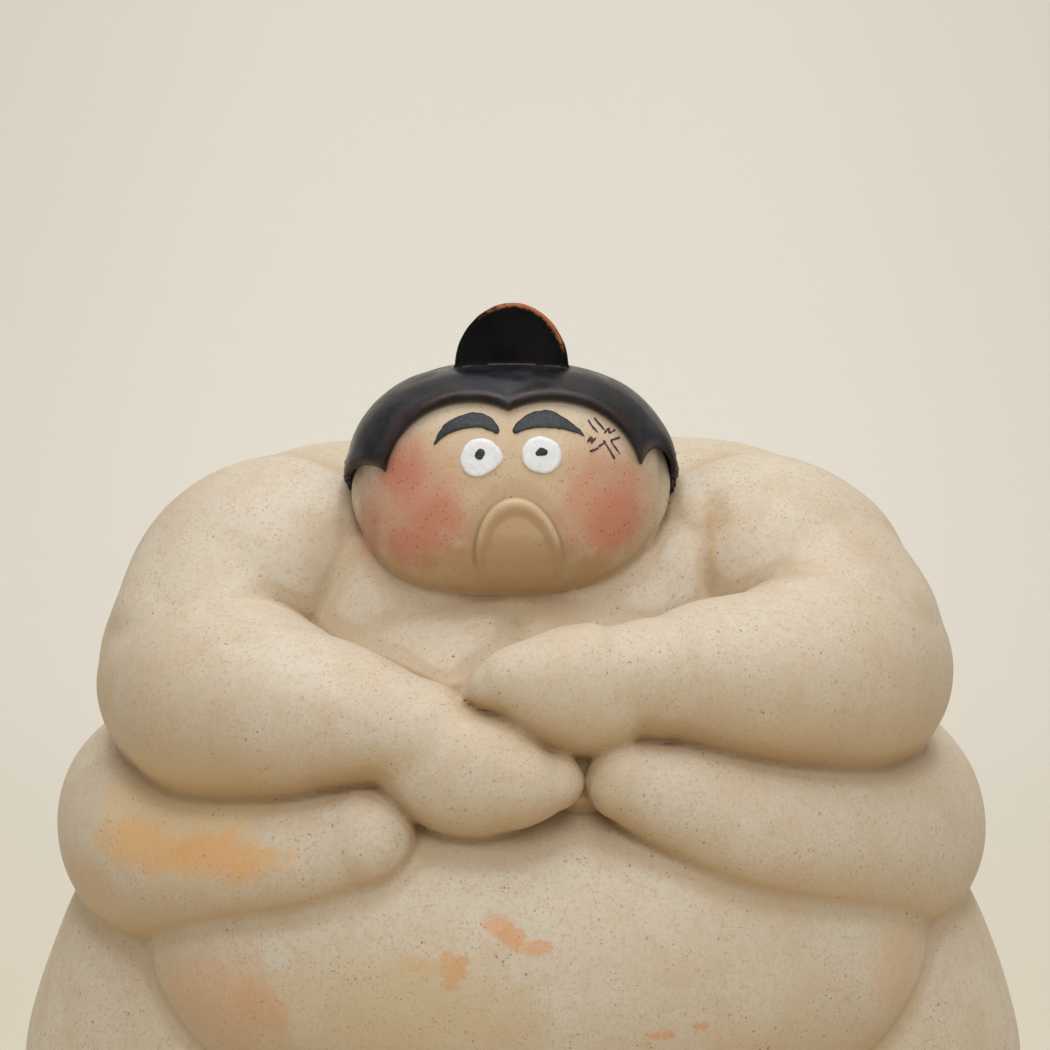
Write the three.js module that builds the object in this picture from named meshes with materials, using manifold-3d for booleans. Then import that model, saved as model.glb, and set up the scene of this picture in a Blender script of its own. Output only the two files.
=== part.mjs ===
// Sumo wrestler figurine: a heavy stoneware figure that stands with folded arms.
// Millimetres, +Z up. It faces -Y, so its own right side is at -X.
// The origin lies on the table, under the middle of the figure's outline.
import * as THREE from 'three';
import { mergeVertices } from 'three/addons/utils/BufferGeometryUtils.js';
import Module from 'manifold-3d';

const wasm = await Module();
wasm.setup();

// Fit and wall sizes
const fitGap = 0.3; // slip gap between two neighbouring pieces
const wall = 4; // thickness of the cast shell of the torso
const ventRadius = 5; // firing vent in the underside

// Torso: z, half width, front y, back y, from the underside up to the nape
const torsoSquare = 2.4;
const torsoLevels = [
  [18, 26, -7, 23],
  [20, 38, -15, 31],
  [24, 47.5, -20, 37],
  [30, 54, -23, 40.5],
  [36, 55.6, -24, 41],
  [44, 54, -24, 40.5],
  [52, 51, -23, 39],
  [60, 47, -24, 37],
  [70, 42.5, -27.5, 34.5],
  [77, 38.5, -26, 32],
  [84, 34, -22, 30.5],
  [90, 31, -19.5, 29],
  [95.2, 30, -15.5, 27],
  [99.1, 25.3, -8.5, 24],
  [102, 18, 0, 21],
  [103.6, 7, 7, 17],
];

// Limbs and rolls of flesh: x, y, z, then the radius along the reference
// direction (front for a limb, up for a roll) and the radius across it
const rightUpperArm = [
  [-15, 7, 96, 11, 7.5],
  [-23, 6, 93.4, 13.6, 10.5],
  [-28.8, -0.8, 88.4, 17, 13.8],
  [-33.5, -4.5, 81.5, 14.2, 12.4],
  [-33.8, -7.5, 78.5, 12.4, 11.2],
];
const rightForearm = [
  [-33.5, -9.5, 79.6, 12.2, 12.2],
  [-30, -17, 78.2, 11.8, 12],
  [-24, -23.3, 77.8, 10.2, 10.2],
  [-19, -25.8, 78.2, 9, 8.3],
  [-14.5, -27.2, 77.2, 7.6, 7.3],
  [-11.2, -27.8, 76.6, 6.4, 6.2],
];
const rightHand = [
  [-9.8, -28.5, 73.6, 6, 6.3],
  [-6.2, -30.2, 71.8, 6, 7],
  [-2.3, -31.5, 71, 5.6, 5.9],
  [1, -32.2, 70.6, 4.9, 4.7],
  [2.5, -32.3, 70.7, 4.1, 3.9],
];
const leftUpperArm = [
  [15, 7, 96.4, 11, 7.5],
  [23, 6, 93.6, 13.6, 10.6],
  [28.2, -1.3, 88.4, 17.2, 14],
  [33.2, -4.5, 82.5, 14.2, 12.4],
  [33.5, -7.5, 79.8, 12.4, 11.2],
];
const leftForearm = [
  [33.7, -9, 81, 12.2, 12.4],
  [30.6, -16, 80.6, 11.8, 12],
  [25.4, -22, 81, 10.6, 10.2],
  [18.6, -25.3, 81.8, 9.2, 8.5],
  [14, -27, 81.9, 7, 6.2],
];
const leftHand = [
  [11.6, -28, 81.2, 5.8, 5.4],
  [8, -28.8, 80.6, 6.3, 7],
  [2.8, -29.8, 81.1, 5.9, 6],
  [-1.4, -30.6, 81.6, 4.7, 4.6],
  [-3.6, -30.6, 81.6, 3.3, 3.2],
];
const rightSideRoll = [
  [-5, 28.5, 67, 7, 5.5],
  [-16, 29.6, 66.5, 9, 6.8],
  [-29, 26, 66, 11, 8.4],
  [-38, 17, 64.2, 11.6, 10],
  [-41.2, 4, 62.8, 11.7, 10.3],
  [-38.2, -8.5, 61.8, 11.4, 10],
  [-31, -18.8, 62, 10.6, 8.8],
  [-23, -27, 63.4, 7.7, 7.4],
  [-16, -31, 66.2, 5.7, 5.5],
];
const leftSideRoll = [
  [5, 28.5, 67, 7, 5.5],
  [16, 29.6, 66.5, 9, 6.8],
  [29, 26, 66, 11, 8.4],
  [38, 17, 64, 11.6, 10],
  [41, 5, 62.5, 11.6, 10.3],
  [38.6, -7.5, 62.2, 11.4, 10],
  [32.3, -18.8, 62.9, 11, 8.8],
  [24.5, -26.8, 65.4, 9.2, 7.5],
  [16.8, -30.4, 69.6, 6.2, 5.8],
  [11.7, -31.7, 71, 4.6, 4.6],
];
const rightThigh = [
  [-20, 7, 26, 20, 20],
  [-21.5, 6, 17, 20.5, 20],
  [-23, 4, 9, 18, 17.5],
  [-24, 2, 3, 16, 15.5],
  [-24, 2, -3, 16, 15.5],
];
const bellyCentre = [1, -5, 52.5];
const bellyRadii = [40.5, 36, 24.5];
const bellySquare = 2.2;

// Feet
const footCentre = [-25, -12, 2.5];
const footRadii = [12.5, 9, 7];
const toeCount = 5;
const toeRadius = 2.6;
const bigToeRadius = 3.4;

// Head: a squarish skull with fuller jowls below it
const headCentre = [-1.3, -10, 101];
const headRadii = [16.2, 13.5, 11.6];
const headSquare = 2.5;
const jowlForward = 3.4;
const jowlDrop = 4.6;
const jowlInset = [2.6, 3.6, 3.4]; // how much smaller they are than the skull
const jowlRadii = headRadii.map((radius, axis) => radius - jowlInset[axis]);
const faceMargin = 5; // how far the cutting plates stand in front of the face

// Ears: rows as for a limb, with x counted inward from the side of the head,
// and y and z from its centre
const rightEar = [
  [2.9, -3.8, -5.8, 0.8, 1.4],
  [1.3, -2.4, -2.4, 1.6, 1.8],
  [1.1, -2, 0.6, 1.3, 1.6],
  [1.8, -2.5, 2.3, 0.5, 0.8],
];
const leftEar = [
  [2.9, -4.4, -5.6, 0.8, 1.4],
  [1.3, -2.4, -1.6, 1.6, 1.8],
  [1.1, -2, 1.8, 1.3, 1.6],
  [1.6, -2.5, 4, 0.5, 0.8],
];

// Arches on the face: x, z where the arch springs, half width, rise. These and the
// painted features are counted from the centre of the head, but for the arches
// around the ears, whose x is counted inward from its side
const foreheadArches = [[-4.2, 0.5, 8.9, 8.8], [4.3, 0.5, 9.5, 8.9]];
const earArches = { right: [0.7, -2.4, 2.8, 5], left: [0.3, -1, 2.8, 5.5] };
const mouthArch = [0.8, -6.5, 4.3, 5.5];
const mouthForward = 1.7; // how far the mouth stands out of the face
const mouthLift = 2.4; // the mound fades out towards the chin

// Hair and topknot
const hairThickness = 1.1;
const hairWindowBack = 1; // behind the middle of the head
const napeDrop = 2.1; // lower edge of the hair, below the middle of the head
const topknotLength = 19;
const topknotFrontY = -13.6;
const topknotFrontRadii = [6.9, 5.8]; // up, across
const topknotMiddleRadii = [4.6, 4.2];
const topknotWaistRadii = [2.4, 2.5];
const topknotTailRadii = [2, 2.2];
const topknotTailDrop = 2.4;
const topknotBevel = 0.5;

// Painted face: each eye is x, z; a brow is x, z and half width along its arc
const eyes = { right: [-3, 3.6], left: [3.25, 3.85] };
const pupils = { right: [-3.2, 3.95], left: [3.2, 4.2] };
const whiteRadii = [2.1, 1.85];
const pupilRadii = [0.6, 0.5];
const whiteThickness = 0.5;
const browThickness = 0.6;
const brows = {
  right: [
    [-7.9, 4.9, 0.15], [-6.5, 6.5, 0.56], [-4.6, 7.3, 0.76], [-2.6, 7.3, 0.7], [-1.4, 6.4, 0.35],
  ],
  left: [
    [0.5, 6.4, 0.35], [1.7, 7.2, 0.7], [3.6, 7.5, 0.86], [5.7, 6.9, 0.5], [7.6, 5.8, 0.12],
  ],
};

// Belt: how far it lies inside the outline of the hips, and its cloth
const beltBottomZ = 13;
const beltTopZ = 22;
const beltInset = [2.5, 3]; // at the sides, at the back
const beltForward = 3; // how far it stands in front of the hips
const beltBulge = 1;
const apronHalfWidth = 8.5;
const apronBottomZ = 5;
const apronThickness = 3;
const knotRadii = [6.5, 4, 5];
const knotOut = 1.5; // its middle, behind the back of the belt

const front = new THREE.Vector3(0, -1, 0);
const up = new THREE.Vector3(0, 0, 1);

// Closed skin over a stack of rings with a point at each end
function skin(rings, start, end) {
  const around = rings[0].length;
  const points = rings.flat().concat([start, end]);
  const first = points.length - 2;
  const index = [];
  const last = (rings.length - 1) * around;
  for (let j = 0; j < around; j++) {
    const k = (j + 1) % around;
    index.push(first, k, j, first + 1, last + j, last + k);
    for (let i = 0; i < last; i += around) {
      index.push(i + j, i + k, i + around + k, i + j, i + around + k, i + around + j);
    }
  }
  const geometry = new THREE.BufferGeometry();
  geometry.setAttribute('position', new THREE.Float32BufferAttribute(points.flatMap((p) => p.toArray()), 3));
  geometry.setIndex(index);
  return geometry;
}

// Smooth rows between the given rows, for positions and radii alike
function smoothRows(rows, perRow) {
  const width = rows[0].length;
  const curves = [];
  for (let c = 0; c < width; c += 3) {
    const part = rows.map((row) => new THREE.Vector3(row[c], row[c + 1] ?? 0, row[c + 2] ?? 0));
    curves.push(new THREE.CatmullRomCurve3(part, false, 'catmullrom', 0.5));
  }
  const count = (rows.length - 1) * perRow;
  return Array.from({ length: count + 1 }, (_, i) =>
    curves.flatMap((curve) => curve.getPoint(i / count).toArray()).slice(0, width)
  );
}

// A limb: elliptical sections along a smooth spine, with rounded or flat ends
function limb(rows, { reference = front, grow = 0, around = 16, perRow = 2, round = true } = {}) {
  const sections = smoothRows(rows, perRow);
  const spine = sections.map(([x, y, z]) => new THREE.Vector3(x, y, z));
  const tangents = spine.map((p, i) => {
    const before = spine[Math.max(i - 1, 0)];
    const after = spine[Math.min(i + 1, spine.length - 1)];
    return after.clone().sub(before).normalize();
  });
  const ring = (i, scale, shift) => {
    const tangent = tangents[i];
    const along = reference.clone().addScaledVector(tangent, -reference.dot(tangent)).normalize();
    const across = tangent.clone().cross(along);
    const centre = spine[i].clone().addScaledVector(tangent, shift);
    return Array.from({ length: around }, (_, j) => {
      const angle = (2 * Math.PI * j) / around;
      return centre
        .clone()
        .addScaledVector(along, Math.cos(angle) * (sections[i][3] + grow) * scale)
        .addScaledVector(across, Math.sin(angle) * (sections[i][4] + grow) * scale);
    });
  };
  const n = sections.length - 1;
  const startReach = round ? Math.min(...sections[0].slice(3)) + grow : grow;
  const endReach = round ? Math.min(...sections[n].slice(3)) + grow : grow;
  const rings = sections.map((_, i) => ring(i, 1, 0));
  if (round) {
    for (const angle of [60, 30]) {
      const sine = Math.sin((angle * Math.PI) / 180);
      const cosine = Math.cos((angle * Math.PI) / 180);
      rings.unshift(ring(0, sine, -startReach * cosine));
      rings.push(ring(n, sine, endReach * cosine));
    }
  }
  return solid(
    skin(
      rings,
      spine[0].clone().addScaledVector(tangents[0], -startReach),
      spine[n].clone().addScaledVector(tangents[n], endReach)
    )
  );
}

const signedPower = (v, e) => Math.sign(v) * Math.abs(v) ** e;

// A trunk: rows of z, half width, front y and back y, as squarish ovals
function trunk(rows, { square = 2, grow = 0, around = 32, perRow = 1 } = {}) {
  const rings = smoothRows(rows, perRow).map(([z, halfWidth, yFront, yBack]) =>
    Array.from({ length: around }, (_, j) => {
      const angle = (2 * Math.PI * j) / around;
      return new THREE.Vector3(
        (halfWidth + grow) * signedPower(Math.cos(angle), 2 / square),
        (yFront + yBack) / 2 + ((yBack - yFront) / 2 + grow) * signedPower(Math.sin(angle), 2 / square),
        z
      );
    })
  );
  const middle = (row, shift) => new THREE.Vector3(0, (row[2] + row[3]) / 2, row[0] + shift);
  return solid(skin(rings, middle(rows[0], -grow), middle(rows[rows.length - 1], grow)));
}

// A ball with its own radius on each axis, from round to squarish
function ball(centre, radii, { square = 2, grow = 0, around = 24, rows = 14 } = {}) {
  const geometry = new THREE.SphereGeometry(1, around, rows).rotateX(Math.PI / 2);
  const position = geometry.attributes.position;
  const point = new THREE.Vector3();
  for (let i = 0; i < position.count; i++) {
    point.fromBufferAttribute(position, i);
    const size = point.toArray().reduce((sum, v) => sum + Math.abs(v) ** square, 0) ** (1 / square);
    const [x, y, z] = point.toArray().map((v, axis) => centre[axis] + (v / size) * (radii[axis] + grow));
    position.setXYZ(i, x, y, z);
  }
  return solid(geometry);
}

function box(xMin, xMax, yMin, yMax, zMin, zMax) {
  const geometry = new THREE.BoxGeometry(xMax - xMin, yMax - yMin, zMax - zMin);
  return solid(geometry.translate((xMin + xMax) / 2, (yMin + yMax) / 2, (zMin + zMax) / 2));
}

// A flat outline in x and z, pushed through from yMin to yMax
function plate(outline, yMin, yMax) {
  const shape = new THREE.Shape(outline.map(([x, z]) => new THREE.Vector2(x, z)));
  const geometry = new THREE.ExtrudeGeometry(shape, { depth: yMax - yMin, bevelEnabled: false });
  return solid(geometry.rotateX(Math.PI / 2).translate(0, yMax, 0));
}

// An outline with straight sides and a round top
function arch([x, springZ, halfWidth, rise], bottomZ, steps = 14) {
  const top = Array.from({ length: steps + 1 }, (_, i) => {
    const angle = (Math.PI * i) / steps;
    return [x + halfWidth * Math.cos(angle), springZ + rise * Math.sin(angle)];
  });
  return [[x + halfWidth, bottomZ], ...top, [x - halfWidth, bottomZ]];
}

// The outline of a brush stroke that swells along its arc
function stroke(rows, perRow = 2) {
  const line = smoothRows(rows, perRow);
  const sides = line.map(([x, z, half], i) => {
    const [before, after] = [line[Math.max(i - 1, 0)], line[Math.min(i + 1, line.length - 1)]];
    const normal = new THREE.Vector2(before[1] - after[1], after[0] - before[0]).setLength(half);
    return [[x + normal.x, z + normal.y], [x - normal.x, z - normal.y]];
  });
  return [...sides.map(([over]) => over), ...sides.map(([, under]) => under).reverse()];
}

function oval([x, z], [across, tall], grow = 0, steps = 20) {
  return Array.from({ length: steps }, (_, i) => {
    const angle = (2 * Math.PI * i) / steps;
    return [x + (across + grow) * Math.cos(angle), z + (tall + grow) * Math.sin(angle)];
  });
}

function solid(geometry) {
  geometry.deleteAttribute('normal');
  geometry.deleteAttribute('uv');
  const merged = mergeVertices(geometry, 1e-4);
  return new wasm.Manifold(
    new wasm.Mesh({
      numProp: 3,
      vertProperties: new Float32Array(merged.attributes.position.array),
      triVerts: new Uint32Array(merged.index.array),
    })
  );
}

// The largest connected body of a cut, so that a sliver never becomes a piece
function mainBody(body) {
  const bodies = body.decompose();
  return bodies.reduce((best, each) => (each.volume() > best.volume() ? each : best));
}

function headAt([x, y, z], grow) {
  const skull = ball([x, y, z], headRadii, { square: headSquare, grow, around: 26, rows: 14 });
  const jowls = [x, y - jowlForward, z - jowlDrop];
  return skull.add(ball(jowls, jowlRadii, { square: headSquare, grow, around: 22, rows: 10 }));
}

const mirrored = (rows) => rows.map(([x, ...rest]) => [-x, ...rest]);
const join = (bodies) => bodies.reduce((sum, body) => sum.add(body));
const cut = (body, tools) => tools.reduce((rest, tool) => rest.subtract(tool), body);
const room = 130; // larger than the figure, for the cutting boxes
const aboveTable = () => box(-room, room, -room, room, 0, room);

// Clay forms: each takes the amount by which it is grown
const form = {
  torso: (grow = 0) => trunk(torsoLevels, { square: torsoSquare, grow }),
  rightArm: (grow = 0) => limb(rightUpperArm, { grow }).add(limb(rightForearm, { grow })),
  leftArm: (grow = 0) => limb(leftUpperArm, { grow }).add(limb(leftForearm, { grow })),
  rightHand: (grow = 0) => limb(rightHand, { grow, around: 14 }),
  leftHand: (grow = 0) => limb(leftHand, { grow, around: 14 }),
  rightSideRoll: (grow = 0) => limb(rightSideRoll, { reference: up, grow, perRow: 1 }),
  leftSideRoll: (grow = 0) => limb(leftSideRoll, { reference: up, grow, perRow: 1 }),
  belly: (grow = 0) => ball(bellyCentre, bellyRadii, { square: bellySquare, grow, around: 28, rows: 14 }),
  rightLeg: (grow = 0) => limb(rightThigh, { grow, around: 20 }),
  leftLeg: (grow = 0) => limb(mirrored(rightThigh), { grow, around: 20 }),
  head: (grow = 0) => headAt(headCentre, grow),
};

const group = new THREE.Group();
const clay = { color: '#d2bfa2', roughness: 0.7, metalness: 0 };
const blackGlaze = { color: '#141312', roughness: 0.22, metalness: 0 };
const blackPaint = { color: '#2a2b2d', roughness: 0.6, metalness: 0 };
const whitePaint = { color: '#e4e5e8', roughness: 0.5, metalness: 0 };

function place(name, body, look) {
  const { vertProperties, triVerts } = mainBody(body).getMesh();
  const geometry = new THREE.BufferGeometry();
  geometry.setAttribute('position', new THREE.BufferAttribute(new Float32Array(vertProperties), 3));
  geometry.setIndex(new THREE.BufferAttribute(new Uint32Array(triVerts), 1));
  geometry.computeVertexNormals();
  const mesh = new THREE.Mesh(geometry, new THREE.MeshStandardMaterial(look));
  mesh.name = name;
  group.add(mesh);
}

// The body: each form gives way to the ones before it
const bodyOrder = [
  ['right_arm', 'rightArm'],
  ['left_arm', 'leftArm'],
  ['right_hand', 'rightHand'],
  ['left_hand', 'leftHand'],
  ['right_side_roll', 'rightSideRoll'],
  ['left_side_roll', 'leftSideRoll'],
  ['belly', 'belly'],
  ['right_leg', 'rightLeg'],
  ['left_leg', 'leftLeg'],
];
const grownTorso = form.torso(fitGap);
const grownHead = form.head(fitGap);
const cavityTopZ = headCentre[2] - jowlDrop - jowlRadii[2] - wall;
const cavityLevels = torsoLevels
  .slice(1)
  .filter(([z]) => z < cavityTopZ)
  .map(([z, halfWidth, yFront, yBack]) => [z, halfWidth - wall, yFront + wall, yBack - wall]);
cavityLevels[0][0] += wall / 2;
const cavity = trunk(cavityLevels, { square: torsoSquare, around: 16 });
const ventY = (torsoLevels[0][2] + torsoLevels[0][3]) / 2;
const vent = () => {
  const geometry = new THREE.CylinderGeometry(ventRadius, ventRadius, beltTopZ * 2, 20);
  return solid(geometry.rotateX(Math.PI / 2).translate(0, ventY, beltTopZ));
};
place('torso', cut(form.torso(), [cavity, vent(), grownHead]), clay);

const before = [grownTorso, grownHead];
for (const [name, key] of bodyOrder) {
  place(name, cut(form[key](), before).intersect(aboveTable()), clay);
  before.push(form[key](fitGap));
}

// Feet with a row of toes, the big toe on the inner side
function foot(side) {
  const [x, y, z] = footCentre;
  const sole = ball([side * x, y, z], footRadii, { square: 2.4, around: 20, rows: 10 });
  const toes = Array.from({ length: toeCount }, (_, i) => {
    const radius = i === 0 ? bigToeRadius : toeRadius;
    const turn = (-58 + i * 29) * (Math.PI / 180);
    const across = x - Math.sin(turn) * footRadii[0] * 0.78;
    const forward = y - Math.cos(turn) * footRadii[1] * 0.95;
    const toeRadii = [radius, radius * 1.25, radius];
    return ball([side * across, forward, radius * 0.75], toeRadii, { around: 8, rows: 6 });
  });
  return join([sole, ...toes]);
}
for (const [name, side] of [['right_foot', 1], ['left_foot', -1]]) {
  place(name, cut(foot(side), before).intersect(aboveTable()), clay);
}

// Belt, with the apron in front and the knot behind
const [, hipHalfWidth, hipFrontY, hipBackY] = torsoLevels.find(([z]) => z > beltTopZ);
const beltHalfWidth = hipHalfWidth - beltInset[0];
const beltFrontY = hipFrontY - beltForward;
const beltBackY = hipBackY - beltInset[1];
const beltLevels = [
  [beltBottomZ, beltHalfWidth - beltBulge, beltFrontY + beltBulge, beltBackY - beltBulge],
  [beltBottomZ + beltBulge, beltHalfWidth, beltFrontY, beltBackY],
  [beltTopZ - beltBulge, beltHalfWidth + beltBulge, beltFrontY, beltBackY],
  [beltTopZ, beltHalfWidth, beltFrontY + beltBulge, beltBackY - beltBulge],
];
const belt = (grow = 0) => trunk(beltLevels, { square: torsoSquare, grow, around: 28 });
place('mawashi_belt', cut(belt(), [...before, vent()]), blackGlaze);
before.push(belt(fitGap));
const apronFrontY = beltFrontY - fitGap - apronThickness;
const apronLevels = [
  [apronBottomZ, apronHalfWidth * 0.82, apronFrontY + 0.6, apronFrontY + apronThickness - 0.4],
  [apronBottomZ + 1, apronHalfWidth * 0.88, apronFrontY + 0.2, apronFrontY + apronThickness],
  [beltBottomZ, apronHalfWidth, apronFrontY, apronFrontY + apronThickness + 2],
  [beltTopZ - 1, apronHalfWidth, apronFrontY, apronFrontY + apronThickness + 2],
  [beltTopZ, apronHalfWidth - 0.8, apronFrontY + 0.8, apronFrontY + apronThickness + 1],
];
const apron = trunk(apronLevels, { square: 5, around: 20 });
place('mawashi_apron', cut(apron, before), blackGlaze);
const knotCentre = [0, beltBackY + knotOut, (beltBottomZ + beltTopZ) / 2];
const knot = ball(knotCentre, knotRadii, { square: 3, around: 18, rows: 8 });
place('mawashi_knot', cut(knot, before), blackGlaze);

// Head: whole, with everything else laid on its surface
place('head', form.head(), clay);
const [headX, headY, headZ] = headCentre;
const headTopZ = headZ + headRadii[2];
const headBottomZ = headZ - headRadii[2];
const laid = (thickness) => form.head(fitGap + thickness).subtract(grownHead);
const faceFrontY = headY - headRadii[1] - faceMargin;
const onFace = (outline) => plate(outline, faceFrontY, headY);
const fromHead = ([x, z, ...sizes]) => [headX + x, headZ + z, ...sizes];
const fromSide = (side, inward) => headX + side * (headRadii[0] - inward);

const ears = [['right_ear', rightEar, -1], ['left_ear', leftEar, 1]].map(([name, rows, side]) => ({
  name,
  rows: rows.map(([inward, y, z, ...radii]) => [fromSide(side, inward), headY + y, headZ + z, ...radii]),
}));
for (const { name, rows } of ears) {
  place(name, cut(limb(rows, { around: 12, perRow: 2 }), before), clay);
}
const grownEars = ears.map(({ rows }) => limb(rows, { grow: fitGap, around: 12, perRow: 2 }));

// Hair: a cap of even thickness, cut back by the arches of the forehead and the ears
const hairArches = [
  ...foreheadArches.map(fromHead),
  ...[[-1, earArches.right], [1, earArches.left]].map(([side, [inward, z, ...sizes]]) => [
    fromSide(side, inward), headZ + z, ...sizes,
  ]),
];
const openings = hairArches.map((outline) =>
  plate(arch(outline, headBottomZ), faceFrontY, headY + hairWindowBack)
);
const hairOver = box(-room, room, -room, room, headZ - napeDrop, room);
const hair = cut(laid(hairThickness).intersect(hairOver), [...openings, grownTorso, ...grownEars]);
place('hair_cap', cut(hair, [form.rightArm(fitGap), form.leftArm(fitGap)]), blackGlaze);

// Topknot: a flat half round fan in front, drawn in to a waist and a short tail
const topknotZ = headTopZ + hairThickness;
const topknotY = (share) => topknotFrontY + topknotLength * share;
const topknotRows = [
  [headX, topknotY(1), topknotZ - topknotTailDrop, ...topknotTailRadii],
  [headX, topknotY(0.62), topknotZ, ...topknotWaistRadii],
  [headX, topknotY(0.3), topknotZ, ...topknotMiddleRadii],
  [headX, topknotFrontY + topknotBevel * 2, topknotZ, ...topknotFrontRadii],
  [headX, topknotFrontY, topknotZ, ...topknotFrontRadii.map((radius) => radius - topknotBevel)],
];
const topknot = limb(topknotRows, { reference: up, around: 20, round: false });
place('topknot', topknot.subtract(form.head(2 * fitGap + hairThickness)), blackGlaze);

// Frowning mouth: the head once more, moved out within an arch, so that it fades at the chin
const mound = headAt([headX, headY - mouthForward, headZ + mouthLift], 0);
place('mouth', mound.intersect(onFace(arch(fromHead(mouthArch), headBottomZ))).subtract(grownHead), clay);

// Eyes, each with a pupil set in a hole of the white, and brows
for (const side of ['right', 'left']) {
  const pupil = (grow) => onFace(oval(fromHead(pupils[side]), pupilRadii, grow, 14));
  const white = onFace(oval(fromHead(eyes[side]), whiteRadii)).subtract(pupil(fitGap));
  place(`${side}_eye_white`, laid(whiteThickness).intersect(white), whitePaint);
  place(`${side}_pupil`, laid(whiteThickness).intersect(pupil(0)), blackPaint);
  const brow = stroke(brows[side].map(fromHead));
  place(`${side}_brow`, laid(browThickness).intersect(onFace(brow)), blackPaint);
}

export default group;
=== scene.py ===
"""Sumo wrestler figurine in speckled stoneware, with black glaze and painted details."""

import math

import bpy
import numpy as np
import openvdb
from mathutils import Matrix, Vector


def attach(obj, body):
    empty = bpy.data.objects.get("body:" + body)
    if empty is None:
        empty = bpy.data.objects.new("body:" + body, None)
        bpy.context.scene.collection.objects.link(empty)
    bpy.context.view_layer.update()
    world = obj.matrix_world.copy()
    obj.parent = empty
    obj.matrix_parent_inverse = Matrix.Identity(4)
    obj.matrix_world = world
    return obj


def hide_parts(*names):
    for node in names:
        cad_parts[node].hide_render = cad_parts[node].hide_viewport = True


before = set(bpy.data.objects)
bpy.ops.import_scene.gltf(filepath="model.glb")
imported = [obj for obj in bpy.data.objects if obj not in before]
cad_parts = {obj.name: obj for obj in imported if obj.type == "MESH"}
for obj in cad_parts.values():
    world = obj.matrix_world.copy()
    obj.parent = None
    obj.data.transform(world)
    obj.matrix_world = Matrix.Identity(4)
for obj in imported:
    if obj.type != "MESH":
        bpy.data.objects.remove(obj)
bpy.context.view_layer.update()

# Sizes in millimetres, in the same frame as the solids
MM = 0.001
BODY_VOXEL = 0.45
HEAD_VOXEL = 0.24
PAINT_VOXEL = 0.09
BELT_VOXEL = 0.4
TORSO_SQUARE = 2.4
BELLY_SQUARE = 2.1
HEAD_SQUARE = 2.5
CREASE = 0.6  # rounding where two forms meet
SOFT_REACH = 10.0  # the widest blend between two forms
VENT_RADIUS, VENT_Y, VENT_TOP_Z = 5, 8, 50
FRONT = np.array([0.0, -1.0, 0.0])
UP = np.array([0.0, 0.0, 1.0])

# Torso: z, half width, front y, back y
TORSO_LEVELS = [
    (18, 26, -7, 23),
    (20, 38, -15, 31),
    (24, 47.5, -20, 37),
    (30, 54, -23, 40.5),
    (36, 55.6, -24, 41),
    (44, 54, -24, 40.5),
    (52, 51, -23, 39),
    (60, 47, -24, 37),
    (70, 42.5, -27.5, 34.5),
    (77, 38.5, -26, 32),
    (84, 34, -22, 30.5),
    (90, 31, -19.5, 29),
    (95.2, 30, -15.5, 27),
    (99.1, 25.3, -8.5, 24),
    (102, 18, 0, 21),
    (103.6, 7, 7, 17),
]
# Limbs: x, y, z, then the radii along the reference direction and across it
RIGHT_UPPER_ARM = [
    (-15, 7, 96, 11, 7.5),
    (-23, 6, 93.4, 13.6, 10.5),
    (-28.8, -0.8, 88.4, 17, 13.8),
    (-33.5, -4.5, 81.5, 14.2, 12.4),
    (-33.8, -7.5, 78.5, 12.4, 11.2),
]
RIGHT_FOREARM = [
    (-33.5, -9.8, 79.5, 12.2, 11.9),
    (-30, -18.2, 78.6, 11.8, 11.6),
    (-24, -25.1, 78.3, 10.2, 9.5),
    (-19, -27.8, 78.3, 9, 7.9),
    (-14.5, -29.2, 77.7, 7.6, 6.4),
    (-11.2, -29.8, 76.9, 6.2, 5.3),
]
RIGHT_HAND = [
    (-9.6, -30.5, 75, 6, 6.5),
    (-6.2, -32.2, 73.3, 6, 6.6),
    (-2.3, -33.5, 72.9, 5.6, 6),
    (0.1, -34.2, 72.5, 5, 4.9),
    (1.8, -34.2, 72.4, 4.3, 3.9),
    (3.2, -34, 72.5, 3.3, 3),
]
LEFT_UPPER_ARM = [
    (15, 7, 96.4, 11, 7.5),
    (23, 6, 93.6, 13.6, 10.6),
    (28.2, -1.3, 88.4, 17.2, 14),
    (33.2, -4.5, 82.3, 14.2, 12.1),
    (33.9, -7.5, 78.8, 12.4, 11.2),
]
LEFT_FOREARM = [
    (33.9, -9.3, 81, 12.2, 12.2),
    (30.8, -17.2, 81.1, 11.8, 11.6),
    (25.4, -23.8, 81.6, 10.6, 9.6),
    (18.6, -27.3, 82.2, 9.2, 8),
    (14, -29, 82.1, 7, 6.3),
]
LEFT_HAND = [
    (11, -30.2, 81.8, 5.6, 5.4),
    (7.6, -30.9, 81.4, 6.3, 6.9),
    (2.8, -31.8, 81.7, 5.9, 6.2),
    (-1.2, -32.3, 82.2, 4.5, 4.2),
    (-3.3, -32.3, 81.9, 3.2, 2.8),
    (-4.8, -32.1, 81.4, 2.1, 1.8),
    (-5.7, -32, 81.1, 0.9, 0.8),
]
RIGHT_SIDE_ROLL = [
    (-5, 28.5, 67, 7, 5.5),
    (-16, 29.6, 66.5, 9, 6.8),
    (-29, 26, 66, 11, 8.4),
    (-38, 17, 64.2, 11.6, 10),
    (-41.2, 4, 62.8, 11.7, 10.3),
    (-38.2, -8.5, 61.8, 10.9, 10),
    (-31, -19.6, 62.4, 8.6, 8.8),
    (-23, -27.8, 64, 6.7, 7.2),
    (-16.2, -31.8, 66.2, 5.2, 5.2),
]
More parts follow.
